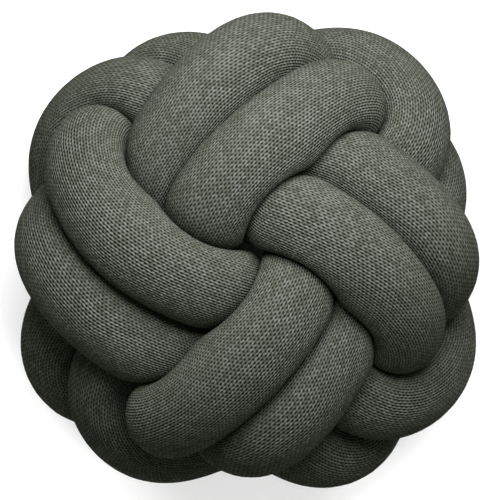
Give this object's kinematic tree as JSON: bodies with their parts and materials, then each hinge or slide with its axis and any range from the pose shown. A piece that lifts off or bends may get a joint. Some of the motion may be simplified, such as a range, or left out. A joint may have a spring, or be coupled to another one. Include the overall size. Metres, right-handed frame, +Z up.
{
  "type": "knot cushion",
  "caption": "Flat ball of thick stuffed knit tube tied in a doubled round knot, lying on its back; the tube's ends are tucked inside.",
  "frame": {"origin": "centre of the bounding box, at the bottom, where the cushion rests", "axes": "+Z up, from the back it lies on to the face in the picture, +X to the right of the picture and +Y to its top"},
  "size_m": [0.2985, 0.3065, 0.1704],
  "materials": {
    "knotted_tube": "matte fine knit, dark grey-green"
  },
  "bodies": {
    "root": {"knotted_tube": "knotted_tube"}
  },
  "joints": []
}
